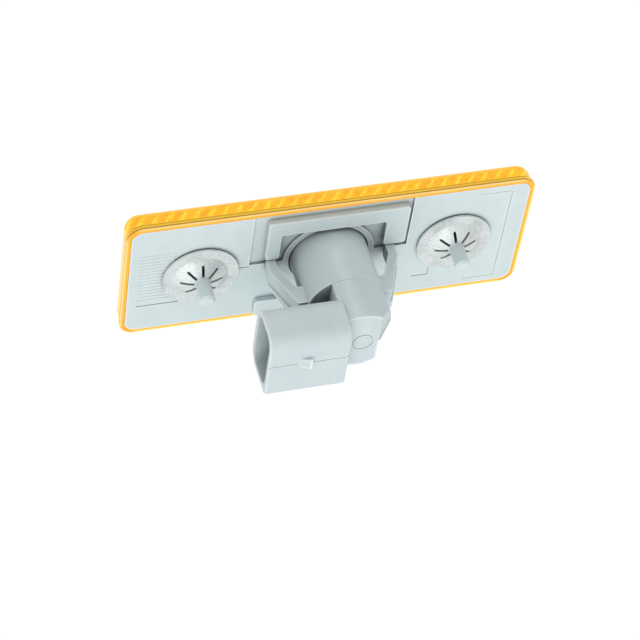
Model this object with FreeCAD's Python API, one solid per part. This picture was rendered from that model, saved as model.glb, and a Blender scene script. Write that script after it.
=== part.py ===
import FreeCAD, Part
import math
import os

V = FreeCAD.Vector

# Side marker lamp, upright as it sits on the side of a car. Sizes are in millimetres.
# X runs along the lamp, Y out of its back and Z up. The origin is midway between the two studs,
# in the plane of the back face that seats on the body panel.

# Lens: an amber tray whose rim surrounds the back plate
lens_length = 107.8
lens_height = 40.4
lens_corner_radius = 4.4
lens_depth = 7.0
lens_front_round = 3.0
lens_front_wall = 1.8
lens_flange_depth = 1.3
lens_flange_step = 0.4
lens_flange_round = 0.35
lens_ledge = 1.3
flute_pitch = 4.2
flute_land = 0.5
flute_depth = 0.55

# Housing: the grey back plate
plate_thickness = 2.2
plate_rim = 1.4
plate_gap = 0.1
recess_half_width = 21.0
recess_depth = 0.7
recess_bottom_z = 0.85
frame_height = 1.3
frame_edge = 1.8
frame_tower_gap = 1.2
frame_left_x = 17.4
frame_left_leg = 3.6
frame_right_x = -19.8
frame_right_leg = 5.8
frame_corner_radius = 0.8
lower_bar_half_length = 18.6
lower_bar_height = 1.6
lower_bar_edge = 0.6
lower_bar_tower_gap = 3.1
collar_width = 1.6
line_width = 0.35
line_depth = 0.25
flute_field_end = 2.7
flute_field_length = 9.3
flute_field_low_z = -7.4
flute_field_high_z = 10.0
flute_field_pitch = 1.2
flute_field_depth = 0.12
left_step_z = -9.8
left_step_length = 12.3
middle_line_z = 0.1
middle_line_length = 6.0
right_line_end = 4.7
right_line_length = 8.9
right_line_low_edge = 1.8
right_line_high_edge = 2.5
mark_from_stud = 5.1
mark_z = -12.9
mark_length = 4.7
mark_height = 3.0

# Studs and push nuts
stud_from_end = 20.0
stud_radius = 1.95
stud_root_radius = 2.15
stud_length = 9.4
stud_tip_chamfer = 0.6
nut_radius = 10.0
nut_sheet = 0.5
nut_rim_width = 2.8
nut_dome_height = 2.2
nut_rim_lift = 0.45
nut_dome_bulge = 0.66
nut_slots = 8
nut_slot_width = 0.75
nut_slot_reach = 5.6
nut_grip_gap = 0.03
right_nut_turn = 10.0

# Bulb holder: tower, wings, elbow and connector shroud
holder_z = 0.9
tower_radius = 10.2
tower_end_y = 16.8
tower_base_y = -0.3
tower_gap = 0.4
neck_radius = 7.6
neck_gap = 0.2
neck_reach = 2.0
lug_height = 1.4
lug_reach = 1.2
lug_angle = 34.0
lug_notch_angle = 42.0
lug_gap = 0.1
wing_outer_x = 17.0
wing_end_x = 12.4
wing_end_y = 16.2
wing_shoulder_y = 5.0
wing_foot_y = 0.25
wing_foot_width = 2.3
wing_root_depth = 2.0
wing_window_y = 10.8
wing_window_inset = 0.8
wing_window_drop = 1.0
wing_thickness = 4.4
wing_gap = 0.4
wing_corner_radius = 0.7
lip_step = 0.5
lip_thickness = 2.8
lip_edge = 0.2
elbow_left_x = 4.7
elbow_right_x = -5.0
elbow_back_y = 29.4
elbow_low_radius = 8.8
elbow_step = 0.15
elbow_bevel_drop = 6.6
shelf_thickness = 0.5
shelf_step = 0.55
pin_mark_x = -0.9
pin_mark_radius = 2.8
pin_mark_width = 0.3
pin_mark_depth = 0.15
shroud_mouth_x = 24.8
shroud_end_x = 3.9
shroud_front_y = 20.8
shroud_back_y = 33.8
shroud_inset = 0.05
shroud_corner_radius = 4.4
shroud_key_radius = 0.6
shroud_end_round = 0.5
shroud_wall = 1.25
shroud_floor = 2.5
latch_x = 15.4
latch_width = 3.2
latch_length = 3.2
latch_height = 1.1
latch_z = 1.9
part_line_z = 1.45
part_line_width = 0.22
part_line_depth = 0.12
nick_length = 0.8
nick_height = 1.5
nick_depth = 0.8

# Bulb, terminals and seal
bulb_radius = 5.0
bulb_tip_y = -3.4
bulb_shoulder_y = 6.5
bulb_neck_y = 9.6
wedge_width = 9.4
wedge_thickness = 2.2
wedge_end_y = 22.0
bulb_gap = 0.4
wedge_gap = 0.1
terminal_width = 2.8
terminal_thickness = 0.8
terminal_spread = 6.0
terminal_start_y = 12.0
terminal_tip_x = 16.0
terminal_tip_chamfer = 0.3
terminal_gap = 0.05
seal_thickness = 0.9
seal_width = 1.0
seal_inset = 0.1

# Sizes that follow from the ones above
plate_length = lens_length - 2 * plate_rim
plate_height = lens_height - 2 * plate_rim
plate_corner_radius = lens_corner_radius - plate_rim
stud_spacing = lens_length - 2 * stud_from_end
seal_seat_y = tower_base_y - seal_thickness
bulb_bore_radius = bulb_radius + bulb_gap
holder_axis = V(0, 0, holder_z)
wing_top_z = holder_z + wing_thickness / 2
wing_low_z = holder_z - wing_thickness / 2
shroud_half_height = tower_radius - shroud_inset
blade_y = (shroud_front_y + shroud_back_y) / 2
nut_top_y = nut_rim_lift + nut_dome_height + nut_sheet

ALONG = V(1, 0, 0)
BACK = V(0, 1, 0)
UP = V(0, 0, 1)
overlap = 0.5
tolerance = 0.01


def block(x_pair, y_pair, z_pair):
    low = [min(pair) for pair in (x_pair, y_pair, z_pair)]
    high = [max(pair) for pair in (x_pair, y_pair, z_pair)]
    return Part.makeBox(high[0] - low[0], high[1] - low[1], high[2] - low[2], V(*low))


def edges_along(shape, direction):
    """Straight edges that run along a direction."""
    found = []
    for edge in shape.Edges:
        if isinstance(edge.Curve, Part.Line) and abs(edge.Curve.Direction.dot(direction)) > 1 - tolerance:
            found.append(edge)
    return found


def rounded_block(x_pair, y_pair, z_pair, radius):
    """A block whose edges along Y are rounded."""
    body = block(x_pair, y_pair, z_pair)
    return body.makeFillet(radius, edges_along(body, BACK))


def centred_plate(length, height, radius, y_pair):
    return rounded_block((-length / 2, length / 2), y_pair, (-height / 2, height / 2), radius)


def cylinder(radius, y_start, y_end, centre):
    """A round along Y between two depths."""
    return Part.makeCylinder(radius, y_end - y_start, V(centre.x, y_start, centre.z), BACK)


def ring(outer, inner, y_start, y_end, centre):
    return cylinder(outer, y_start, y_end, centre).cut(cylinder(inner, y_start, y_end, centre))


def outline(points, direction):
    """A closed straight-sided outline, extruded along a direction."""
    wire = Part.makePolygon(points + points[:1])
    return Part.Face(wire).extrude(direction)


def make_lens():
    wall_length = lens_length - 2 * lens_flange_step
    wall_height = lens_height - 2 * lens_flange_step
    body = centred_plate(wall_length, wall_height, lens_corner_radius - lens_flange_step, (-lens_depth, 0))
    front_edges = [edge for edge in body.Edges if edge.BoundBox.YMax < tolerance - lens_depth]
    body = body.makeFillet(lens_front_round, front_edges)
    flange = centred_plate(lens_length, lens_height, lens_corner_radius, (-lens_flange_depth, 0))
    back_edges = [edge for edge in flange.Edges if edge.BoundBox.YMin > -tolerance]
    body = body.fuse(flange.makeFillet(lens_flange_round, back_edges))
    seat_length = plate_length + 2 * plate_gap
    seat_height = plate_height + 2 * plate_gap
    seat_radius = plate_corner_radius + plate_gap
    seat = centred_plate(seat_length, seat_height, seat_radius, (-plate_thickness, overlap))
    room_length = seat_length - 2 * lens_ledge
    room_height = seat_height - 2 * lens_ledge
    room_front = lens_front_wall - lens_depth
    room = centred_plate(room_length, room_height, plate_corner_radius, (room_front, 0))
    body = body.cut(seat).cut(room)
    return body.cut(Part.makeCompound(lens_flutes(room_length, room_height, room_front)))


def lens_flutes(room_length, room_height, room_front):
    """Upright optical flutes in the inner face of the lens front."""
    half_chord = (flute_pitch - flute_land) / 2
    radius = (half_chord ** 2 + flute_depth ** 2) / (2 * flute_depth)
    count = int((room_length - 2 * plate_corner_radius) // flute_pitch)
    height = room_height - 2 * plate_corner_radius
    flutes = []
    for index in range(count):
        x = (index - (count - 1) / 2) * flute_pitch
        axis_foot = V(x, room_front + radius - flute_depth, -height / 2)
        flutes.append(Part.makeCylinder(radius, height, axis_foot, UP))
    return flutes


def make_housing():
    plate = centred_plate(plate_length, plate_height, plate_corner_radius, (-plate_thickness, 0))
    recess_x = (-recess_half_width, recess_half_width)
    recess_z = (recess_bottom_z, plate_height / 2 + overlap)
    recess = block(recess_x, (-recess_depth, overlap), recess_z)
    body = plate.cut(recess)
    collar_radius = tower_radius + tower_gap + collar_width
    collar = cylinder(collar_radius, -plate_thickness, 0, holder_axis)
    body = body.fuse([collar] + locating_frame() + studs())
    body = body.cut([holder_opening()] + plate_lines())
    return body.removeSplitter()


def locating_frame():
    """Raised bars that locate the lamp in the panel's cut-out."""
    depth = (-plate_thickness, frame_height)
    top_z = plate_height / 2 - frame_edge
    bar_low = holder_z + tower_radius + frame_tower_gap
    leg_low = wing_top_z + wing_gap
    top_bar = block((frame_right_x, frame_left_x), depth, (bar_low, top_z))
    left_leg = block((frame_left_x - frame_left_leg, frame_left_x), depth, (leg_low, top_z))
    right_leg = block((frame_right_x, frame_right_x + frame_right_leg), depth, (leg_low, top_z))
    frame = top_bar.fuse([left_leg, right_leg]).removeSplitter()
    frame = frame.makeFillet(frame_corner_radius, edges_along(frame, BACK))
    low_x = (-lower_bar_half_length, lower_bar_half_length)
    low_y = (-plate_thickness, lower_bar_height)
    low_z = (lower_bar_edge - plate_height / 2, holder_z - tower_radius - lower_bar_tower_gap)
    return [frame, rounded_block(low_x, low_y, low_z, frame_corner_radius)]


def studs():
    made = []
    for side in (-1, 1):
        centre = V(side * stud_spacing / 2, 0, 0)
        shaft = cylinder(stud_radius, -plate_thickness, stud_length, centre)
        tip = [edge for edge in shaft.Edges if edge.BoundBox.YMin > stud_length - tolerance]
        root = cylinder(stud_root_radius, -plate_thickness, nut_top_y, centre)
        made.append(shaft.makeChamfer(stud_tip_chamfer, tip).fuse(root))
    return made


def holder_opening():
    """The stepped hole that takes the holder's neck, lugs and seal."""
    seat = cylinder(tower_radius + tower_gap, seal_seat_y, overlap, holder_axis)
    bore = cylinder(neck_radius + neck_gap, -plate_thickness - overlap, seal_seat_y, holder_axis)
    notches = lugs(lug_reach + neck_gap, lug_notch_angle, 90, (-plate_thickness - overlap, seal_seat_y))
    return seat.fuse([bore] + notches)


def lugs(reach, angle, start, y_pair):
    """A pair of bayonet lugs on the neck, opposite each other."""
    foot = V(0, y_pair[0], holder_z)
    made = []
    for turn in (start, start + 180):
        sector = Part.makeCylinder(neck_radius + reach, y_pair[1] - y_pair[0], foot, BACK, angle)
        made.append(sector.rotate(holder_axis, BACK, turn - angle / 2))
    return made


def plate_lines():
    """Fine steps and lines moulded into the back of the plate."""
    half_length = plate_length / 2
    half_height = plate_height / 2
    field_far_x = half_length - flute_field_end
    field = (field_far_x - flute_field_length, field_far_x)
    count = int((flute_field_high_z - flute_field_low_z) // flute_field_pitch) + 1
    cuts = []
    for index in range(count):
        z = flute_field_low_z + index * flute_field_pitch
        cuts.append(block(field, (-flute_field_depth, overlap), (z, z + flute_field_pitch / 2)))
    cuts.append(line_along(field_far_x - left_step_length, field_far_x, left_step_z))
    cuts.append(line_along(recess_half_width, recess_half_width + middle_line_length, middle_line_z))
    right_x = right_line_end - half_length
    low_z = right_line_low_edge - half_height
    high_z = half_height - right_line_high_edge
    cuts.append(line_up(right_x, low_z, high_z))
    for z in (low_z, high_z):
        cuts.append(line_along(right_x, right_x + right_line_length, z))
    mark_x = mark_from_stud - stud_spacing / 2
    cuts.append(line_along(mark_x, mark_x + mark_length, mark_z))
    cuts.append(line_up(mark_x, mark_z, mark_z + mark_height))
    return cuts


def line_along(x_start, x_end, z):
    return block((x_start, x_end), (-line_depth, overlap), (z, z + line_width))


def line_up(x, z_start, z_end):
    return block((x, x + line_width), (-line_depth, overlap), (z_start, z_end))


def make_push_nut(side, turn):
    """A sprung sheet nut: flat rim, domed centre and radial slots that leave the gripping tongues."""
    bore = stud_root_radius + nut_grip_gap
    rim = nut_radius - nut_rim_width
    middle = (rim + bore) / 2
    low = [V(nut_radius, nut_rim_lift, 0), V(rim, nut_rim_lift, 0)]
    low.append(V(middle, nut_rim_lift + nut_dome_bulge * nut_dome_height, 0))
    low.append(V(bore, nut_rim_lift + nut_dome_height, 0))
    lift = V(0, nut_sheet, 0)
    edges = [Part.makeLine(low[0], low[1]), Part.Arc(low[1], low[2], low[3]).toShape()]
    edges.append(Part.makeLine(low[3], low[3] + lift))
    edges.append(Part.Arc(low[3] + lift, low[2] + lift, low[1] + lift).toShape())
    edges.append(Part.makeLine(low[1] + lift, low[0] + lift))
    edges.append(Part.makeLine(low[0] + lift, low[0]))
    nut = Part.Face(Part.Wire(edges)).revolve(V(0, 0, 0), BACK, 360)
    half_slot = nut_slot_width / 2
    slot_end = nut_slot_reach - half_slot
    slot_high = nut_top_y + overlap
    slot = block((0, slot_end), (0, slot_high), (-half_slot, half_slot))
    slot = slot.fuse(cylinder(half_slot, 0, slot_high, V(slot_end, 0, 0)))
    slots = []
    for index in range(nut_slots):
        slots.append(slot.copy().rotate(V(0, 0, 0), BACK, turn + index * 360 / nut_slots))
    nut = nut.cut(slots)
    nut.translate(V(side * stud_spacing / 2, 0, 0))
    return nut


def make_bulb_holder():
    body = cylinder(tower_radius, tower_base_y, tower_end_y, holder_axis)
    neck_front = -plate_thickness - lug_gap - neck_reach
    lug_pair = (-plate_thickness - lug_gap - lug_height, -plate_thickness - lug_gap)
    pieces = [cylinder(neck_radius, neck_front, tower_base_y, holder_axis)]
    pieces += lugs(lug_reach, lug_angle, 0, lug_pair)
    pieces += [wing(1), wing(-1), elbow(), shroud(), latch()]
    body = body.fuse(pieces).removeSplitter()
    cuts = [cylinder(bulb_bore_radius, neck_front - overlap, bulb_neck_y, holder_axis)]
    slot_x = wedge_thickness / 2 + wedge_gap
    slot_z = wedge_width / 2 + wedge_gap
    slot_y = (0, wedge_end_y + wedge_gap)
    cuts.append(block((-slot_x, slot_x), slot_y, (holder_z - slot_z, holder_z + slot_z)))
    cuts.append(shroud_room())
    for side in (-1, 1):
        cuts.append(terminal(side, terminal_gap))
    cuts.append(pin_mark())
    return body.cut(cuts)


def pin_mark():
    """The ring that the ejector pin leaves on the elbow's back."""
    centre = holder_axis + V(pin_mark_x, 0, 0)
    inner = pin_mark_radius - pin_mark_width
    return ring(pin_mark_radius, inner, elbow_back_y - pin_mark_depth, elbow_back_y + overlap, centre)


def wing(side):
    """A turning wing: a sloped arm from the tower's end out to a foot just clear of the plate."""
    root_x = tower_radius - wing_root_depth
    inner_x = wing_outer_x - wing_foot_width
    window_x = wing_end_x - wing_window_inset
    arm = [(root_x, wing_end_y), (wing_end_x, wing_end_y), (wing_outer_x, wing_shoulder_y)]
    arm += [(wing_outer_x, wing_foot_y), (inner_x, wing_foot_y)]
    arm += [(inner_x, wing_shoulder_y - wing_window_drop), (window_x, wing_window_y), (root_x, wing_window_y)]
    points = [V(side * x, y, wing_low_z) for x, y in arm]
    body = outline(points, V(0, 0, wing_thickness))
    rounded = [edge for edge in edges_along(body, UP) if abs(edge.CenterOfMass.x) > root_x + tolerance]
    body = body.makeFillet(wing_corner_radius, rounded)
    lip = [(root_x, wing_end_y), (wing_end_x + lip_step, wing_end_y)]
    lip += [(wing_outer_x + lip_step, wing_shoulder_y), (inner_x, wing_shoulder_y)]
    lip += [(window_x, wing_window_y), (root_x, wing_window_y)]
    leaf = outline([V(side * x, y, wing_low_z) for x, y in lip], V(0, 0, -lip_thickness))
    slope = [V(0, wing_shoulder_y, wing_low_z - lip_edge), V(0, wing_end_y, wing_low_z - lip_thickness)]
    slope += [V(0, wing_shoulder_y, wing_low_z - lip_thickness)]
    waste = outline(slope, V(side * (wing_outer_x + 2 * lip_step), 0, 0))
    return body.fuse(leaf.cut(waste))


def elbow():
    """The tower's round carried on past its end, cut flat beside the shroud and bevelled behind."""
    root_y = tower_end_y - overlap
    whole = cylinder(tower_radius - elbow_step, root_y, elbow_back_y, holder_axis)
    keep = block((-tower_radius, elbow_left_x), (root_y, elbow_back_y), (holder_z, holder_z + tower_radius))
    bevel = [V(elbow_right_x, elbow_back_y, holder_z), V(-tower_radius, elbow_back_y, holder_z)]
    bevel += [V(-tower_radius, elbow_back_y - elbow_bevel_drop, holder_z)]
    waste = outline(bevel, V(0, 0, tower_radius))
    upper = whole.common(keep).cut(waste)
    shelf_z = (holder_z - shelf_thickness, holder_z)
    shelf = whole.common(block((-tower_radius, elbow_right_x), (root_y, elbow_back_y), shelf_z))
    shelf = shelf.cut(waste.translated(V(0, shelf_step, -shelf_thickness)))
    low_z = (holder_z - elbow_low_radius, holder_z)
    lower = block((elbow_right_x, elbow_left_x), (root_y, elbow_back_y), low_z)
    lower = lower.common(cylinder(elbow_low_radius, root_y, elbow_back_y, holder_axis))
    return upper.fuse([shelf, lower])


def shroud_block(inset, x_pair):
    y_pair = (shroud_front_y + inset, shroud_back_y - inset)
    z_pair = (holder_z - shroud_half_height + inset, holder_z + shroud_half_height - inset)
    return block(x_pair, y_pair, z_pair)


def is_key_edge(edge):
    middle = edge.CenterOfMass
    return middle.y > blade_y and middle.z < holder_z


def shroud():
    """The connector's outside: three round corners, a square key corner and a softened end."""
    body = shroud_block(0, (shroud_end_x, shroud_mouth_x))
    corners = [edge for edge in edges_along(body, ALONG) if not is_key_edge(edge)]
    body = body.makeFillet(shroud_corner_radius, corners)
    key = [edge for edge in edges_along(body, ALONG) if is_key_edge(edge)]
    body = body.makeFillet(shroud_key_radius, key)
    end_edges = [edge for edge in body.Edges if edge.BoundBox.XMax < shroud_end_x + tolerance]
    return body.makeFillet(shroud_end_round, end_edges).cut(shroud_marks())


def shroud_marks():
    """The parting line along the shroud's back, and the nick where it reaches the elbow."""
    line_x = (shroud_end_x, shroud_mouth_x + overlap)
    line_y = (shroud_back_y - part_line_depth, shroud_back_y + overlap)
    line = block(line_x, line_y, (part_line_z, part_line_z + part_line_width))
    nick_y = shroud_back_y - nick_depth
    corners = [V(shroud_end_x, nick_y, part_line_z), V(shroud_end_x + nick_length, nick_y, part_line_z)]
    corners += [V(shroud_end_x, nick_y, part_line_z + nick_height)]
    return [line, outline(corners, V(0, nick_depth + overlap, 0))]


def shroud_room():
    """The room for the mating connector, round at all four corners."""
    room = shroud_block(shroud_wall, (elbow_left_x + shroud_floor, shroud_mouth_x + overlap))
    return room.makeFillet(shroud_corner_radius - shroud_wall, edges_along(room, ALONG))


def latch():
    """A ramp on the shroud's back that the mating connector snaps over."""
    low_z = latch_z - latch_width / 2
    ramp = [V(latch_x - latch_length / 2, shroud_back_y - overlap, low_z)]
    ramp += [V(latch_x - latch_length / 2, shroud_back_y + latch_height, low_z)]
    ramp += [V(latch_x + latch_length / 2, shroud_back_y, low_z)]
    ramp += [V(latch_x + latch_length / 2, shroud_back_y - overlap, low_z)]
    return outline(ramp, V(0, 0, latch_width))


def make_bulb():
    """A capless bulb: round glass envelope pressed flat into a wedge."""
    centre = bulb_tip_y + bulb_radius
    tip = V(0, bulb_tip_y, 0)
    lean = bulb_radius * math.sqrt(0.5)
    dome = Part.Arc(tip, V(lean, centre - lean, 0), V(bulb_radius, centre, 0)).toShape()
    shoulder = V(bulb_radius, bulb_shoulder_y, 0)
    pinch = V(wedge_thickness, bulb_neck_y - bulb_gap, 0)
    end = V(0, bulb_neck_y - bulb_gap, 0)
    edges = [dome, Part.makeLine(V(bulb_radius, centre, 0), shoulder), Part.makeLine(shoulder, pinch)]
    edges += [Part.makeLine(pinch, end), Part.makeLine(end, tip)]
    glass = Part.Face(Part.Wire(edges)).revolve(V(0, 0, 0), BACK, 360)
    half_width = wedge_width / 2
    half_thickness = wedge_thickness / 2
    wedge = block((-half_thickness, half_thickness), (centre, wedge_end_y), (-half_width, half_width))
    bulb = glass.fuse(wedge)
    bulb.translate(holder_axis)
    return bulb


def terminal(side, gap):
    """An L-shaped strip: a contact on the wedge's face that turns into the connector blade."""
    face_x = wedge_thickness / 2 + terminal_gap
    half = terminal_width / 2 + gap
    z = holder_z + side * terminal_spread / 2
    z_pair = (z - half, z + half)
    y_pair = (blade_y - terminal_thickness / 2 - gap, blade_y + terminal_thickness / 2 + gap)
    contact_x = (face_x - gap, face_x + terminal_thickness + gap)
    contact = block(contact_x, (terminal_start_y - gap, y_pair[1]), z_pair)
    blade = block((face_x - gap, terminal_tip_x), y_pair, z_pair)
    return contact.fuse(blade).removeSplitter()


def make_terminal(side):
    strip = terminal(side, 0)
    tip = [edge for edge in strip.Edges if edge.BoundBox.XMin > terminal_tip_x - tolerance]
    return strip.makeChamfer(terminal_tip_chamfer, tip)


def make_seal():
    outer = tower_radius - seal_inset
    return ring(outer, outer - seal_width, seal_seat_y, tower_base_y, holder_axis)


nodes = {
    "lens": make_lens(),
    "housing": make_housing(),
    "bulb_holder": make_bulb_holder(),
    "bulb": make_bulb(),
    "holder_seal": make_seal(),
    "terminal_upper": make_terminal(1),
    "terminal_lower": make_terminal(-1),
    "push_nut_left": make_push_nut(1, 0),
    "push_nut_right": make_push_nut(-1, right_nut_turn),
}

os.makedirs("parts", exist_ok=True)
for name, shape in nodes.items():
    print(name, len(shape.Solids), shape.isValid(), round(shape.Volume, 1))
    shape.exportStep(os.path.join("parts", name + ".step"))
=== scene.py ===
import math

import bmesh
import bpy
from mathutils import Matrix, Quaternion, Vector


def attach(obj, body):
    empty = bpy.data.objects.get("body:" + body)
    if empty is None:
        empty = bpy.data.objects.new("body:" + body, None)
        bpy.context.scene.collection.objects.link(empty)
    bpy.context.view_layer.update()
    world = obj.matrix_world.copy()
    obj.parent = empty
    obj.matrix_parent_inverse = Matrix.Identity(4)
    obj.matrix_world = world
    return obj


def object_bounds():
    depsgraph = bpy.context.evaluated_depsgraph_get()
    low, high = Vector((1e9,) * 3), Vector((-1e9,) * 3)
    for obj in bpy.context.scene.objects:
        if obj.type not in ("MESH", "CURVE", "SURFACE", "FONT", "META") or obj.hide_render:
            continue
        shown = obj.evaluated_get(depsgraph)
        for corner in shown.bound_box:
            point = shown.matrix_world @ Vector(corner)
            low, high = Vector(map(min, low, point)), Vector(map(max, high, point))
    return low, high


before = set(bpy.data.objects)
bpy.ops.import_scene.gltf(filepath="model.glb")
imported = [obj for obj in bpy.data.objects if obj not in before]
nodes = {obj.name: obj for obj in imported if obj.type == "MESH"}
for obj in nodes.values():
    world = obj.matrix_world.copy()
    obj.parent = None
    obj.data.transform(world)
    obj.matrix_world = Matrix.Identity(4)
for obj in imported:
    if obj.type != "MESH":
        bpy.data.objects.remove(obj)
cad_low, cad_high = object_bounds()

# Camera: where it stands, what it points at and how far it leans over
camera_place = Vector((0.17923, 0.42322, 0.52378))
camera_target = Vector((-0.00092, 0.0, -0.02589))
camera_lean = math.radians(9.97)
sensor_width = 36.0
focal_length = 152.7
nearest_sight = 0.01
furthest_sight = 20.0

# Light: a soft lamp behind the plate and a little below it, in an even sky
sky_level = 0.75
lamp_level = 1.3
lamp_from = Vector((0.42, 1.0, -0.3))
lamp_spread = math.radians(50)

# Second lamp, which shows only as a soft sheen on the bulb holder
sheen_level = 0.6
sheen_from = Vector((-0.05, -0.59, 0.8))
sheen_spread = math.radians(12)

# Floor: nearly clear to the eye, with a trace of shadow
floor_size = 4.0
floor_roughness = 0.9
floor_white = (0.9, 0.9, 0.9, 1)
floor_clear = 0.92
floor_glow = 1.05

# Greys of the mouldings, with the pale of their painted edge highlights and the dark of their painted
# crevice shade
housing_grey = (0.655, 0.752, 0.76, 1)
housing_shade = (0.6, 0.69, 0.7, 1)
holder_grey = (0.64, 0.735, 0.75, 1)
holder_shade = (0.57, 0.66, 0.68, 1)
painted_edge_highlight = (0.96, 1.0, 1.0, 1)
painted_crevice_dark = (0.05, 0.057, 0.06, 1)

# Ambers of the lens, with the dark of its painted shade lines, the bright of its painted highlights and the
# pale of painted light through its rim
amber_light = (1.0, 0.88, 0.05, 1)
amber_gold = (1.0, 0.57, 0.004, 1)
amber_deep = (0.82, 0.36, 0.002, 1)
amber_shade_line = (0.42, 0.17, 0.001, 1)
amber_highlight_edge = (1.0, 0.76, 0.04, 1)
amber_rim = (0.95, 0.47, 0.015, 1)
amber_painted_light = (1.0, 0.88, 0.45, 1)

# Metals, rubber and glass
zinc_light = (0.72, 0.77, 0.76, 1)
zinc_dull = (0.4, 0.44, 0.44, 1)
zinc_metal = 0.4
tin_light = (0.78, 0.76, 0.7, 1)
tin_dull = (0.6, 0.56, 0.48, 1)
tungsten_grey = (0.34, 0.33, 0.32, 1)
tungsten_dark = (0.16, 0.155, 0.15, 1)
rubber_black = (0.022, 0.022, 0.024, 1)
rubber_dust = (0.06, 0.06, 0.06, 1)
glass_clear = (0.97, 0.98, 0.98, 1)

# Noises: cycles per metre, detail and roughness
cloud_noise = (70.0, 4.0, 0.6)
streak_noise = (260.0, 3.0, 0.5)
tarnish_noise = (190.0, 3.0, 0.55)
rubbing_noise = (4200.0, 2.0, 0.5)
fleck_noise = (1500.0, 3.0, 0.6)
patch_noise = (420.0, 3.0, 0.6)
ripple_noise = (160.0, 2.0, 0.5)
rubber_noise = (3200.0, 3.0, 0.6)
dust_noise = (240.0, 4.0, 0.65)

# Grains of the mouldings and metals: cycles per metre, with the detail and roughness that they share
housing_grain = 2600.0
holder_grain = 3200.0
grain_detail = (3.0, 0.62)
zinc_grain = 2400.0
tin_grain = 1600.0
tungsten_grain = 2400.0
blotch_detail = (5.0, 0.68)

# Spans of values: all of a mask, and where most of a noise lies
whole_span = (0.0, 1.0)
noise_span = (0.3, 0.7)

# Satin skin of the mouldings: its marks, painted highlights on its edges, painted shade in its crevices,
# gloss and relief, with reaches in metres
cloud_span = (0.35, 0.7)
cloud_strength = 0.65
streak_span = (0.45, 0.8)
streak_strength = 0.35
streak_stretch = (1.0, 0.35, 0.35)
streak_height = 0.6
speck_span = (0.62, 0.75)
speck_strength = 0.35
edge_highlight_reach = 0.0007
edge_highlight_span = (0.4, 0.9)
edge_highlight_strength = 0.9
crevice_shade_reach = 0.01
crevice_shade_span = (0.05, 0.6)
holder_crevice_shade = 1.0
satin_smooth = 0.36
satin_rough = 0.52
satin_relief = 0.25
satin_depth = 0.00003
moulding_edge = 0.00012

# Worn skin of the metals: its marks, gloss and relief, with depths in metres
blotch_span = (0.42, 0.66)
blotch_strength = 0.6
tarnish_span = (0.5, 0.72)
tarnish_strength = 0.45
rubbing_turn = (0.2, 0.5, 0.9)
rubbing_stretch = (1.0, 1.0, 0.04)
rubbing_height = 0.5
worn_span = (0.7, 1.3)
metal_smooth = 0.28
metal_rough = 0.5
metal_relief = 0.35
metal_depth = 0.00004
sheet_edge = 0.00008

# Field of shallow flutes on the plate, in metres, and the share of painted crevice shade it takes
field_middle_x = 0.0465
field_middle_z = 0.0013
field_half_length = 0.0056
field_half_height = 0.0092
field_shade = 0.1

# Fine lines at the plate's far end, in metres, and the shares of painted crevice shade that they take
end_line_x = -0.04765
end_line_low_z = -0.01685
end_line_high_z = 0.01645
end_line_length = 0.0089
end_line_margin = 0.0005
end_line_shade = 0.5
cross_line_shade = 0.0

# Room inside the connector's shroud, in metres, and how dark its painted shade is at the mouth and deep
# inside
room_mouth_x = 0.0246
room_dark_x = 0.015
room_floor_x = 0.0072
room_middle_y = 0.0273
room_middle_z = 0.0009
room_half_depth = 0.00525
room_half_height = 0.0089
room_radius = 0.00315
room_slack = 0.0003
room_shade = 0.6
room_mouth_shade = 0.1

# How far the lens's faces turn along its depth: the walls either way, the back rim and the front
wall_facing = (0.15, 0.6)
rim_facing = (0.3, 0.7)
front_facing = (-0.95, -0.8)

# Bright strokes in the lens wall, in metres, how they waver and how flecks break them
stroke_pitch = 0.0036
stroke_tilt = math.radians(40)
stroke_middle_y = -0.0031
stroke_half_length = 0.0019
stroke_past_belt = 0.15
stroke_span = (0.55, 0.95)
stroke_waver = 1.4
stroke_waver_detail = 2.0
stroke_waver_scale = 4.0
fleck_span = (0.35, 0.6)
fleck_least = 0.2

# Deeper amber in patches on the lens's front and in its walls
patch_span = (0.45, 0.68)
front_patch_share = 0.06
wall_patch_share = 0.75

# Depth looked into behind the lens's front, in metres, how open thin and thick parts are, and the shade
flute_reach = 0.0024
flute_span = (0.27, 0.58)
flute_shade = 0.8

# Bands of painted shade and painted highlight round the lens's back edge: their depth and the pale outer
# edge of painted light, in metres, and the stops along them
band_depth = 0.0022
pale_edge = 0.0008
band_start = (0.05, 0.25)
bright_to = 0.12
line_from = 0.26
line_to = 0.44
edge_from = 0.54
edge_to = 0.7
ochre_from = 0.8
ochre_to = 0.88
rim_from = 0.96

# Gloss and relief of the lens, the bulb and the seal, with depths in metres
lens_smooth = 0.08
lens_rough = 0.2
lens_relief = 0.12
lens_relief_depth = 0.0001
ripple_span = (0.35, 0.7)
glass_smooth = 0.01
glass_rough = 0.07
glass_relief = 0.15
glass_relief_depth = 0.0001
dust_span = (0.5, 0.75)
rubber_smooth = 0.6
rubber_rough = 0.82
rubber_relief = 0.4
rubber_relief_depth = 0.00003

# Bulb filament, in metres, about the holder's axis
filament_z = 0.0009
filament_y = 0.0006
filament_half_span = 0.0021
coil_radius = 0.0004
coil_wire = 0.00006
coil_wire_sides = 6
coil_turns = 16
coil_steps = 16
support_radius = 0.0002
support_sides = 10
support_foot_y = 0.0088
support_foot_spread = 0.0026
support_rim_angle = math.radians(60)


def link(tree, source, target):
    """Joins one node's output to another's input."""
    tree.links.new(source, target)


def feed(tree, value, socket):
    """Gives a socket a plain number or colour, or links another node's output to it."""
    if isinstance(value, (int, float, tuple)):
        socket.default_value = value
    else:
        link(tree, value, socket)


def add_node(tree, kind, **values):
    """A shader node with the named settings and input values."""
    node = tree.nodes.new(kind)
    for name, value in values.items():
        if name in node.inputs:
            node.inputs[name].default_value = value
        else:
            setattr(node, name, value)
    return node


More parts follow.
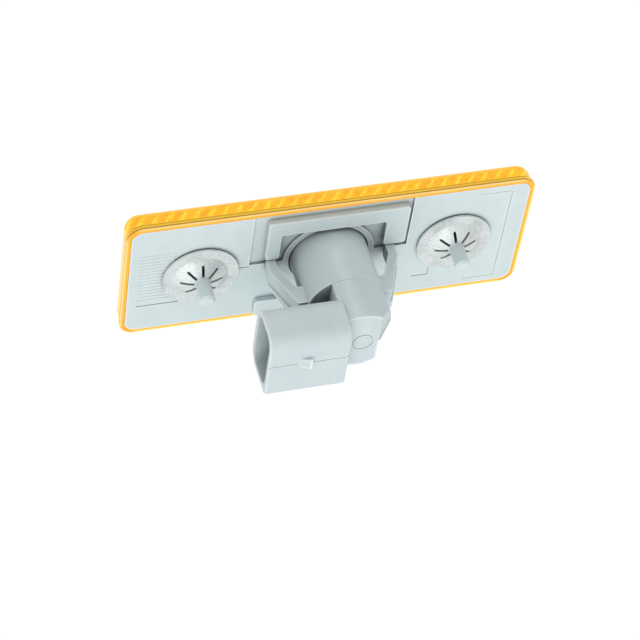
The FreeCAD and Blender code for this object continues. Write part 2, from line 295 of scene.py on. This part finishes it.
def new_group(name, inputs, outputs):
    """An empty shader group with its sockets, and its two end nodes."""
    group = bpy.data.node_groups.new(name, "ShaderNodeTree")
    for label, kind, value in inputs:
        group.interface.new_socket(label, in_out="INPUT", socket_type=kind).default_value = value
    for label, kind in outputs:
        group.interface.new_socket(label, in_out="OUTPUT", socket_type=kind)
    return group, group.nodes.new("NodeGroupInput"), group.nodes.new("NodeGroupOutput")


def object_place(tree):
    """Where a point of the surface is, in metres."""
    return tree.nodes.new("ShaderNodeTexCoord").outputs["Object"]


def axes_of(tree, vector):
    """The three parts of a vector, by name."""
    node = add_node(tree, "ShaderNodeSeparateXYZ")
    link(tree, vector, node.inputs["Vector"])
    return node.outputs


def facing_of(tree):
    """The three parts of the direction that a surface faces."""
    return axes_of(tree, tree.nodes.new("ShaderNodeNewGeometry").outputs["Normal"])


def stretched(tree, place, **settings):
    """A place turned and stretched before a pattern is laid on it."""
    node = add_node(tree, "ShaderNodeMapping", **settings)
    link(tree, place, node.inputs["Vector"])
    return node.outputs["Vector"]


def noise(tree, place, scale, detail, roughness):
    """Cloudy variation over a surface."""
    node = add_node(tree, "ShaderNodeTexNoise", Detail=detail, Roughness=roughness)
    link(tree, place, node.inputs["Vector"])
    feed(tree, scale, node.inputs["Scale"])
    return node.outputs["Fac"]


def spread(tree, value, span, to_low, to_high):
    """A value mapped from a span onto another range and held inside it."""
    node = add_node(tree, "ShaderNodeMapRange", **{"From Min": span[0], "From Max": span[1]})
    feed(tree, to_low, node.inputs["To Min"])
    feed(tree, to_high, node.inputs["To Max"])
    link(tree, value, node.inputs["Value"])
    return node.outputs["Result"]


def combine(tree, operation, first, second=0.0):
    """Two values added, multiplied or compared, as the operation says."""
    node = add_node(tree, "ShaderNodeMath", operation=operation)
    feed(tree, first, node.inputs[0])
    feed(tree, second, node.inputs[1])
    return node.outputs["Value"]


def off_from(tree, value, middle):
    """How far a value is from a middle, either way."""
    return combine(tree, "ABSOLUTE", combine(tree, "SUBTRACT", value, middle))


def mix_colour(tree, share, first, second):
    """The first colour with a share of the second one."""
    node = add_node(tree, "ShaderNodeMix", data_type="RGBA")
    link(tree, share, node.inputs["Factor"])
    sockets = [socket for socket in node.inputs if socket.type == "RGBA"]
    feed(tree, first, sockets[0])
    feed(tree, second, sockets[1])
    return [socket for socket in node.outputs if socket.type == "RGBA"][0]


def openness(tree, reach, **settings):
    """How open a point is to what lies within reach, one in the open and nought when shut in."""
    node = add_node(tree, "ShaderNodeAmbientOcclusion", samples=8, **settings)
    node.inputs["Distance"].default_value = reach
    return node.outputs["AO"]


finish_outputs = [("Colour", "NodeSocketColor"), ("Roughness", "NodeSocketFloat"),
                  ("Height", "NodeSocketFloat")]


def moulded_skin_group():
    """Satin moulding: cloudy flow marks, fine grain, painted highlights on edges and painted shade in
    crevices and hollows.
    """
    group, start, end = new_group(
        "moulded_skin",
        [("Colour", "NodeSocketColor", housing_grey), ("Shade", "NodeSocketColor", housing_shade),
         ("Grain Scale", "NodeSocketFloat", housing_grain), ("Crevice Shade", "NodeSocketFloat", 1.0),
         ("Hollow Shade", "NodeSocketFloat", 0.0)],
        finish_outputs)
    given = start.outputs
    place = object_place(group)
    clouds = noise(group, place, *cloud_noise)
    streaks = noise(group, stretched(group, place, Scale=streak_stretch), *streak_noise)
    grain = noise(group, place, given["Grain Scale"], *grain_detail)

    cloud_share = spread(group, clouds, cloud_span, 0.0, cloud_strength)
    streak_share = spread(group, streaks, streak_span, 0.0, streak_strength)
    speck_share = spread(group, grain, speck_span, 0.0, speck_strength)
    marks = combine(group, "ADD", combine(group, "ADD", cloud_share, streak_share), speck_share)
    colour = mix_colour(group, marks, given["Colour"], given["Shade"])

    # Painted highlight: convex edges, shut in within the solid, are paled
    inner = openness(group, edge_highlight_reach, inside=True, only_local=True)
    colour = mix_colour(group, spread(group, inner, edge_highlight_span, edge_highlight_strength, 0.0), colour, painted_edge_highlight)

    # Painted shade: darker where nearby surfaces shut a point in, and in hollows
    nook = spread(group, openness(group, crevice_shade_reach), crevice_shade_span, 1.0, 0.0)
    dark = combine(group, "ADD", combine(group, "MULTIPLY", nook, given["Crevice Shade"]), given["Hollow Shade"])
    colour = mix_colour(group, dark, colour, painted_crevice_dark)

    link(group, colour, end.inputs["Colour"])
    link(group, spread(group, grain, noise_span, satin_smooth, satin_rough), end.inputs["Roughness"])
    height = combine(group, "ADD", grain, combine(group, "MULTIPLY", streaks, streak_height))
    link(group, height, end.inputs["Height"])
    return group


def worn_metal_group():
    """Plated sheet: crystalline blotches, fine rubbing lines and dull patches."""
    group, start, end = new_group(
        "worn_metal",
        [("Bright", "NodeSocketColor", zinc_light), ("Dull", "NodeSocketColor", zinc_dull),
         ("Blotch Scale", "NodeSocketFloat", zinc_grain)],
        finish_outputs)
    given = start.outputs
    place = object_place(group)
    rubbed = stretched(group, place, Rotation=rubbing_turn, Scale=rubbing_stretch)
    blotch = noise(group, place, given["Blotch Scale"], *blotch_detail)
    tarnish = noise(group, place, *tarnish_noise)
    lines = noise(group, rubbed, *rubbing_noise)

    blotch_share = spread(group, blotch, blotch_span, 0.0, blotch_strength)
    tarnish_share = spread(group, tarnish, tarnish_span, 0.0, tarnish_strength)
    dull = combine(group, "ADD", blotch_share, tarnish_share)
    link(group, mix_colour(group, dull, given["Bright"], given["Dull"]), end.inputs["Colour"])
    worn = combine(group, "ADD", blotch, lines)
    link(group, spread(group, worn, worn_span, metal_smooth, metal_rough), end.inputs["Roughness"])
    height = combine(group, "ADD", blotch, combine(group, "MULTIPLY", lines, rubbing_height))
    link(group, height, end.inputs["Height"])
    return group


def new_material(name, **values):
    """A material with its Principled shader, given the values that are the same all over."""
    material = bpy.data.materials.new(name)
    material.use_nodes = True
    shader = material.node_tree.nodes["Principled BSDF"]
    for label, value in values.items():
        shader.inputs[label].default_value = value
    return material, material.node_tree, shader


def relief(tree, height, shader, strength, depth, edge_round=0.0):
    """Fine relief on a surface, and a rounding of its edges where one is given."""
    node = add_node(tree, "ShaderNodeBump", Strength=strength, Distance=depth)
    link(tree, height, node.inputs["Height"])
    if edge_round:
        softened = add_node(tree, "ShaderNodeBevel", Radius=edge_round, samples=4)
        link(tree, softened.outputs["Normal"], node.inputs["Normal"])
    link(tree, node.outputs["Normal"], shader.inputs["Normal"])


def finish_from_group(tree, shader, group, values, strength, depth, edge_round):
    """Colour, roughness and relief of a shader, taken from a shared group with its own values."""
    node = add_node(tree, "ShaderNodeGroup")
    node.node_tree = group
    for label, value in values.items():
        node.inputs[label].default_value = value
    link(tree, node.outputs["Colour"], shader.inputs["Base Color"])
    link(tree, node.outputs["Roughness"], shader.inputs["Roughness"])
    relief(tree, node.outputs["Height"], shader, strength, depth, edge_round)
    return node


def moulded_plastic(name, values):
    """Grey satin plastic, with its node tree and the skin that colours it."""
    material, tree, shader = new_material(name, **{"Specular IOR Level": 0.4})
    skin = finish_from_group(tree, shader, moulded_skin, values, satin_relief, satin_depth, moulding_edge)
    return material, tree, skin


def plated_metal(name, bright, dull, blotch_scale, metal):
    """Bright metal with dull blotches, more or less of it bare."""
    material, tree, shader = new_material(name, Metallic=metal)
    values = {"Bright": bright, "Dull": dull, "Blotch Scale": blotch_scale}
    finish_from_group(tree, shader, worn_metal, values, metal_relief, metal_depth, sheet_edge)
    return material


def shade_outside(tree, axes, middle, half, inside_shade):
    """The share of painted crevice shade: one outside a box on the plate, and the given share inside it."""
    past_ends = combine(tree, "GREATER_THAN", off_from(tree, axes["X"], middle[0]), half[0])
    past_sides = combine(tree, "GREATER_THAN", off_from(tree, axes["Z"], middle[1]), half[1])
    outside = combine(tree, "MAXIMUM", past_ends, past_sides)
    return spread(tree, outside, whole_span, inside_shade, 1.0)


def grey_housing():
    """The back plate's plastic. Little of the painted crevice shade is laid on its shallow flutes and its
    far end's lines.
    """
    values = {"Colour": housing_grey, "Shade": housing_shade, "Grain Scale": housing_grain}
    material, tree, skin = moulded_plastic("grey_housing", values)
    axes = axes_of(tree, object_place(tree))
    flutes = shade_outside(tree, axes, (field_middle_x, field_middle_z),
                           (field_half_length, field_half_height), field_shade)
    upright = ((end_line_x, (end_line_low_z + end_line_high_z) / 2),
               (end_line_margin, (end_line_high_z - end_line_low_z) / 2))
    shade = combine(tree, "MINIMUM", flutes, shade_outside(tree, axes, *upright, end_line_shade))
    for cross_z in (end_line_low_z, end_line_high_z):
        cross = ((end_line_x + end_line_length / 2, cross_z),
                 (end_line_length / 2 + end_line_margin, end_line_margin))
        shade = combine(tree, "MINIMUM", shade, shade_outside(tree, axes, *cross, cross_line_shade))
    # Painted crevice shade, mostly taken off the flutes and the far end's lines
    link(tree, shade, skin.inputs["Crevice Shade"])
    return material


def past_straight(tree, value, middle, half):
    """How far a point is past the straight part of the room's wall, squared."""
    off = combine(tree, "SUBTRACT", off_from(tree, value, middle), half - room_radius)
    return combine(tree, "POWER", combine(tree, "MAXIMUM", off, 0.0), 2.0)


def grey_holder():
    """The bulb holder's plastic, which darkens with painted shade inside the connector's shroud from mouth
    to floor.
    """
    values = {"Colour": holder_grey, "Shade": holder_shade, "Grain Scale": holder_grain,
              "Crevice Shade": holder_crevice_shade}
    material, tree, skin = moulded_plastic("grey_holder", values)
    axes = axes_of(tree, object_place(tree))
    across = past_straight(tree, axes["Y"], room_middle_y, room_half_depth)
    up = past_straight(tree, axes["Z"], room_middle_z, room_half_height)
    reach = combine(tree, "POWER", combine(tree, "ADD", across, up), 0.5)
    within = combine(tree, "LESS_THAN", reach, room_radius + room_slack)
    past_floor = combine(tree, "GREATER_THAN", axes["X"], room_floor_x)
    depth = spread(tree, axes["X"], (room_dark_x, room_mouth_x), room_shade, room_mouth_shade)
    inside = combine(tree, "MULTIPLY", within, past_floor)
    # Painted shade inside the shroud, deepest towards its floor
    link(tree, combine(tree, "MULTIPLY", depth, inside), skin.inputs["Hollow Shade"])
    return material


def flange_bands(tree, axes, wall_colour):
    """The lens wall with the painted shade line, painted highlight on the flange and orange rim that run
    round its back edge.
    """
    along = spread(tree, axes["Y"], (-band_depth, 0.0), 0.0, 1.0)
    ramp = tree.nodes.new("ShaderNodeValToRGB")
    stops = ramp.color_ramp.elements
    stops[0].position = bright_to
    stops[0].color = amber_light
    stops[1].position = rim_from
    stops[1].color = amber_rim
    # Painted shade lines and painted highlights, set by depth along the lens
    for place, colour in ((line_from, amber_shade_line), (line_to, amber_shade_line), (edge_from, amber_highlight_edge),
                          (edge_to, amber_highlight_edge), (ochre_from, amber_shade_line), (ochre_to, amber_shade_line)):
        stops.new(place).color = colour
    link(tree, along, ramp.inputs["Fac"])
    return mix_colour(tree, spread(tree, along, band_start, 0.0, 1.0), wall_colour, ramp.outputs["Color"])


def rim_edge(tree, axes, facing):
    """One on the outermost edge of the rim's back face, where painted light shines through."""
    out_x = combine(tree, "SUBTRACT", combine(tree, "ABSOLUTE", axes["X"]), cad_high.x - pale_edge)
    out_z = combine(tree, "SUBTRACT", combine(tree, "ABSOLUTE", axes["Z"]), cad_high.z - pale_edge)
    outer = spread(tree, combine(tree, "MAXIMUM", out_x, out_z), (0.0, pale_edge), 0.0, 1.0)
    return combine(tree, "MULTIPLY", outer, spread(tree, facing["Y"], rim_facing, 0.0, 1.0))


def wall_strokes(tree, place, axes, wall, flecks):
    """Slanted bright strokes in a belt along the lens's side walls, broken up by fine flecks."""
    waves = add_node(tree, "ShaderNodeTexWave", Distortion=stroke_waver, Detail=stroke_waver_detail)
    waves.inputs["Detail Scale"].default_value = stroke_waver_scale
    waves.inputs["Scale"].default_value = math.pi / 10 / (stroke_pitch * math.cos(stroke_tilt))
    tilted = stretched(tree, place, Rotation=(0.0, 0.0, stroke_tilt))
    link(tree, tilted, waves.inputs["Vector"])
    stroke = spread(tree, waves.outputs["Fac"], stroke_span, 0.0, 1.0)
    broken = combine(tree, "MULTIPLY", stroke, spread(tree, flecks, fleck_span, fleck_least, 1.0))
    off_belt = off_from(tree, axes["Y"], stroke_middle_y)
    belt = spread(tree, off_belt, (stroke_half_length / 2, stroke_half_length), 1.0, stroke_past_belt)
    return combine(tree, "MULTIPLY", broken, combine(tree, "MULTIPLY", wall, belt))


def thick_front(tree, facing):
    """The share of deeper amber on the front of the lens, more where it is thick between flutes."""
    behind = openness(tree, flute_reach, inside=True, only_local=True)
    thick = spread(tree, behind, flute_span, 0.0, flute_shade)
    return combine(tree, "MULTIPLY", thick, spread(tree, facing["Y"], front_facing, 1.0, 0.0))


def amber_plastic():
    """Clear amber with a painted glow: a golden body, deeper where thick, with bright strokes in its walls
    and a banded edge of painted shade and highlight.
    """
    # The lens has a painted glow: it gives off light in its own colour, though it is no lamp
    material, tree, shader = new_material(
        "amber_plastic", **{"IOR": 1.49, "Transmission Weight": 0.5, "Emission Strength": 0.24,
                           "Specular IOR Level": 0.3})
    place = object_place(tree)
    axes = axes_of(tree, place)
    facing = facing_of(tree)
    flecks = noise(tree, place, *fleck_noise)
    patches = noise(tree, place, *patch_noise)
    wall = spread(tree, combine(tree, "ABSOLUTE", facing["Y"]), wall_facing, 1.0, 0.0)
    strokes = wall_strokes(tree, place, axes, wall, flecks)

    patch_share = spread(tree, wall, whole_span, front_patch_share, wall_patch_share)
    patchy = combine(tree, "MULTIPLY", spread(tree, patches, patch_span, 0.0, 1.0), patch_share)
    deeper = combine(tree, "MAXIMUM", patchy, thick_front(tree, facing))
    body_colour = mix_colour(tree, deeper, amber_gold, amber_deep)
    wall_colour = mix_colour(tree, strokes, body_colour, amber_light)
    banded = flange_bands(tree, axes, wall_colour)
    # Painted light shining through the rim's outer edge
    colour = mix_colour(tree, rim_edge(tree, axes, facing), banded, amber_painted_light)
    link(tree, colour, shader.inputs["Base Color"])
    # Painted glow in the lens's own colour
    link(tree, colour, shader.inputs["Emission Color"])
    link(tree, spread(tree, flecks, noise_span, lens_smooth, lens_rough), shader.inputs["Roughness"])
    relief(tree, strokes, shader, lens_relief, lens_relief_depth)
    return material


def clear_glass():
    """Blown glass with a faint ripple."""
    material, tree, shader = new_material(
        "clear_glass", **{"Base Color": glass_clear, "IOR": 1.5, "Transmission Weight": 1.0})
    ripple = noise(tree, object_place(tree), *ripple_noise)
    link(tree, spread(tree, ripple, ripple_span, glass_smooth, glass_rough), shader.inputs["Roughness"])
    relief(tree, ripple, shader, glass_relief, glass_relief_depth)
    return material


def black_rubber():
    """Matt rubber with a dusting of grey."""
    material, tree, shader = new_material("black_rubber", **{"Specular IOR Level": 0.3})
    place = object_place(tree)
    grain = noise(tree, place, *rubber_noise)
    dust = spread(tree, noise(tree, place, *dust_noise), dust_span, 0.0, 1.0)
    link(tree, mix_colour(tree, dust, rubber_black, rubber_dust), shader.inputs["Base Color"])
    link(tree, spread(tree, grain, noise_span, rubber_smooth, rubber_rough), shader.inputs["Roughness"])
    relief(tree, grain, shader, rubber_relief, rubber_relief_depth)
    return material


def finish_node(name, material):
    """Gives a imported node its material."""
    data = nodes[name].data
    if not data.materials:
        data.materials.append(material)
    for index in range(len(data.materials)):
        data.materials[index] = material


def dress_nodes():
    """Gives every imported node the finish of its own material."""
    zinc_sheet = plated_metal("zinc_sheet", zinc_light, zinc_dull, zinc_grain, zinc_metal)
    tinned_strip = plated_metal("tinned_strip", tin_light, tin_dull, tin_grain, 1.0)
    finish_node("lens", amber_plastic())
    finish_node("housing", grey_housing())
    finish_node("bulb_holder", grey_holder())
    finish_node("bulb", clear_glass())
    finish_node("holder_seal", black_rubber())
    for side in ("left", "right"):
        finish_node("push_nut_" + side, zinc_sheet)
    for level in ("upper", "lower"):
        finish_node("terminal_" + level, tinned_strip)


def new_piece(name, mesh, material):
    """A smooth piece of metal inside the bulb, made from a finished mesh."""
    bmesh.ops.recalc_face_normals(mesh, faces=mesh.faces[:])
    data = bpy.data.meshes.new(name)
    mesh.to_mesh(data)
    mesh.free()
    data.materials.append(material)
    for face in data.polygons:
        face.use_smooth = True
    piece = bpy.data.objects.new(name, data)
    bpy.context.scene.collection.objects.link(piece)
    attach(piece, "root")


def filament_coil(material):
    """A tungsten coil across the bulb, swept as a small ring along a helix."""
    mesh = bmesh.new()
    ring = bmesh.ops.create_circle(
        mesh, segments=coil_wire_sides, radius=coil_wire, cap_ends=False)["verts"]
    start = Matrix.Translation((coil_radius, filament_y, filament_z - filament_half_span))
    bmesh.ops.transform(mesh, matrix=start @ Matrix.Rotation(math.pi / 2, 4, "X"), verts=ring)
    steps = coil_turns * coil_steps
    rise = Vector((0, 0, 2 * filament_half_span / steps))
    bmesh.ops.spin(
        mesh, geom=mesh.verts[:] + mesh.edges[:], cent=(0, filament_y, 0), axis=(0, 0, 1), dvec=rise,
        angle=coil_turns * 2 * math.pi, steps=steps, use_merge=False, use_duplicate=False)
    bmesh.ops.holes_fill(mesh, edges=[edge for edge in mesh.edges if edge.is_boundary], sides=0)
    new_piece("bulb_filament", mesh, material)


def filament_support(name, side, material):
    """A stiff wire that rises out of the bulb's pinch and leans in to the end of the coil."""
    foot = Vector((0, support_foot_y, filament_z + side * support_foot_spread))
    head = Vector((0, filament_y, filament_z + side * filament_half_span))
    run = head - foot
    mesh = bmesh.new()
    ring = bmesh.ops.create_circle(
        mesh, segments=support_sides, radius=support_radius, cap_ends=True)["verts"]
    lean = Vector((0, 0, 1)).rotation_difference(run.normalized()).to_matrix().to_4x4()
    bmesh.ops.transform(mesh, matrix=Matrix.Translation(foot) @ lean, verts=ring)
    top = bmesh.ops.extrude_face_region(mesh, geom=mesh.faces[:])["geom"]
    bmesh.ops.translate(mesh, vec=run, verts=[item for item in top if isinstance(item, bmesh.types.BMVert)])
    rims = [edge for edge in mesh.edges if edge.calc_face_angle(0) > support_rim_angle]
    bmesh.ops.bevel(
        mesh, geom=rims, offset=support_radius / 3, offset_type="OFFSET", segments=2, profile=0.5,
        affect="EDGES", material=-1)
    new_piece(name, mesh, material)


def add_filament():
    """The coil and its two supports, all of tungsten wire."""
    tungsten_wire = plated_metal("tungsten_wire", tungsten_grey, tungsten_dark, tungsten_grain, 1.0)
    filament_coil(tungsten_wire)
    filament_support("filament_support_upper", 1, tungsten_wire)
    filament_support("filament_support_lower", -1, tungsten_wire)


def seen_rays(tree):
    """One for rays from the eye, reflections and glass, and nought for the light that falls on things."""
    path = tree.nodes.new("ShaderNodeLightPath").outputs
    mirrored = combine(tree, "MAXIMUM", path["Is Glossy Ray"], path["Is Transmission Ray"])
    return combine(tree, "MAXIMUM", path["Is Camera Ray"], mirrored)


def add_sky():
    """An even sky, white to the eye."""
    world = bpy.data.worlds.new("studio_sky")
    bpy.context.scene.world = world
    world.use_nodes = True
    tree = world.node_tree
    background = tree.nodes["Background"]
    background.inputs["Color"].default_value = (1, 1, 1, 1)
    link(tree, spread(tree, seen_rays(tree), whole_span, sky_level, 1.0), background.inputs["Strength"])


def add_lamp(name, level, source, angle):
    """A distant lamp that shines from the given side, as soft as its angle is wide."""
    data = bpy.data.lights.new(name, "SUN")
    data.energy = level
    data.angle = angle
    lamp = bpy.data.objects.new(name, data)
    lamp.rotation_mode = "QUATERNION"
    lamp.rotation_quaternion = source.to_track_quat("Z", "Y")
    bpy.context.scene.collection.objects.link(lamp)
    return lamp


def add_lamps():
    """The studio lamp, and the sheen lamp that reaches only the bulb holder."""
    add_lamp("studio_lamp", lamp_level, lamp_from, lamp_spread)
    sheen_lamp = add_lamp("sheen_lamp", sheen_level, sheen_from, sheen_spread)
    sheen_lamp.visible_diffuse = False
    polished = bpy.data.collections.new("polished_plastic")
    polished.objects.link(nodes["bulb_holder"])
    sheen_lamp.light_linking.receiver_collection = polished


def floor_material():
    """White that glows to the eye, so only a trace of the shadow shows."""
    material, tree, shader = new_material(
        "floor_white", **{"Base Color": floor_white, "Roughness": floor_roughness})
    glow = add_node(tree, "ShaderNodeEmission", Strength=floor_glow)
    blend = tree.nodes.new("ShaderNodeMixShader")
    link(tree, combine(tree, "MULTIPLY", seen_rays(tree), floor_clear), blend.inputs["Fac"])
    link(tree, shader.outputs["BSDF"], blend.inputs[1])
    link(tree, glow.outputs["Emission"], blend.inputs[2])
    link(tree, blend.outputs["Shader"], tree.nodes["Material Output"].inputs["Surface"])
    return material


def add_floor():
    """A pale floor under the lens, which lets the low lamp through."""
    mesh = bmesh.new()
    bmesh.ops.create_grid(mesh, x_segments=1, y_segments=1, size=floor_size / 2)
    bmesh.ops.translate(mesh, vec=(0, 0, cad_low.z), verts=mesh.verts[:])
    data = bpy.data.meshes.new("floor")
    mesh.to_mesh(data)
    mesh.free()
    data.materials.append(floor_material())
    floor = bpy.data.objects.new("floor", data)
    bpy.context.scene.collection.objects.link(floor)
    floor.visible_shadow = False


def add_camera():
    """The camera, at the photograph's viewing angle."""
    data = bpy.data.cameras.new("photo_camera")
    data.sensor_width = sensor_width
    data.lens = focal_length
    data.clip_start = nearest_sight
    data.clip_end = furthest_sight
    camera = bpy.data.objects.new("photo_camera", data)
    camera.location = camera_place
    camera.rotation_mode = "QUATERNION"
    aim = (camera_target - camera_place).to_track_quat("-Z", "Y")
    camera.rotation_quaternion = aim @ Quaternion((0, 0, 1), camera_lean)
    bpy.context.scene.collection.objects.link(camera)
    bpy.context.scene.camera = camera


moulded_skin = moulded_skin_group()
worn_metal = worn_metal_group()
add_camera()
dress_nodes()
add_filament()
add_sky()
add_lamps()
add_floor()
bpy.context.scene.view_settings.view_transform = "Standard"
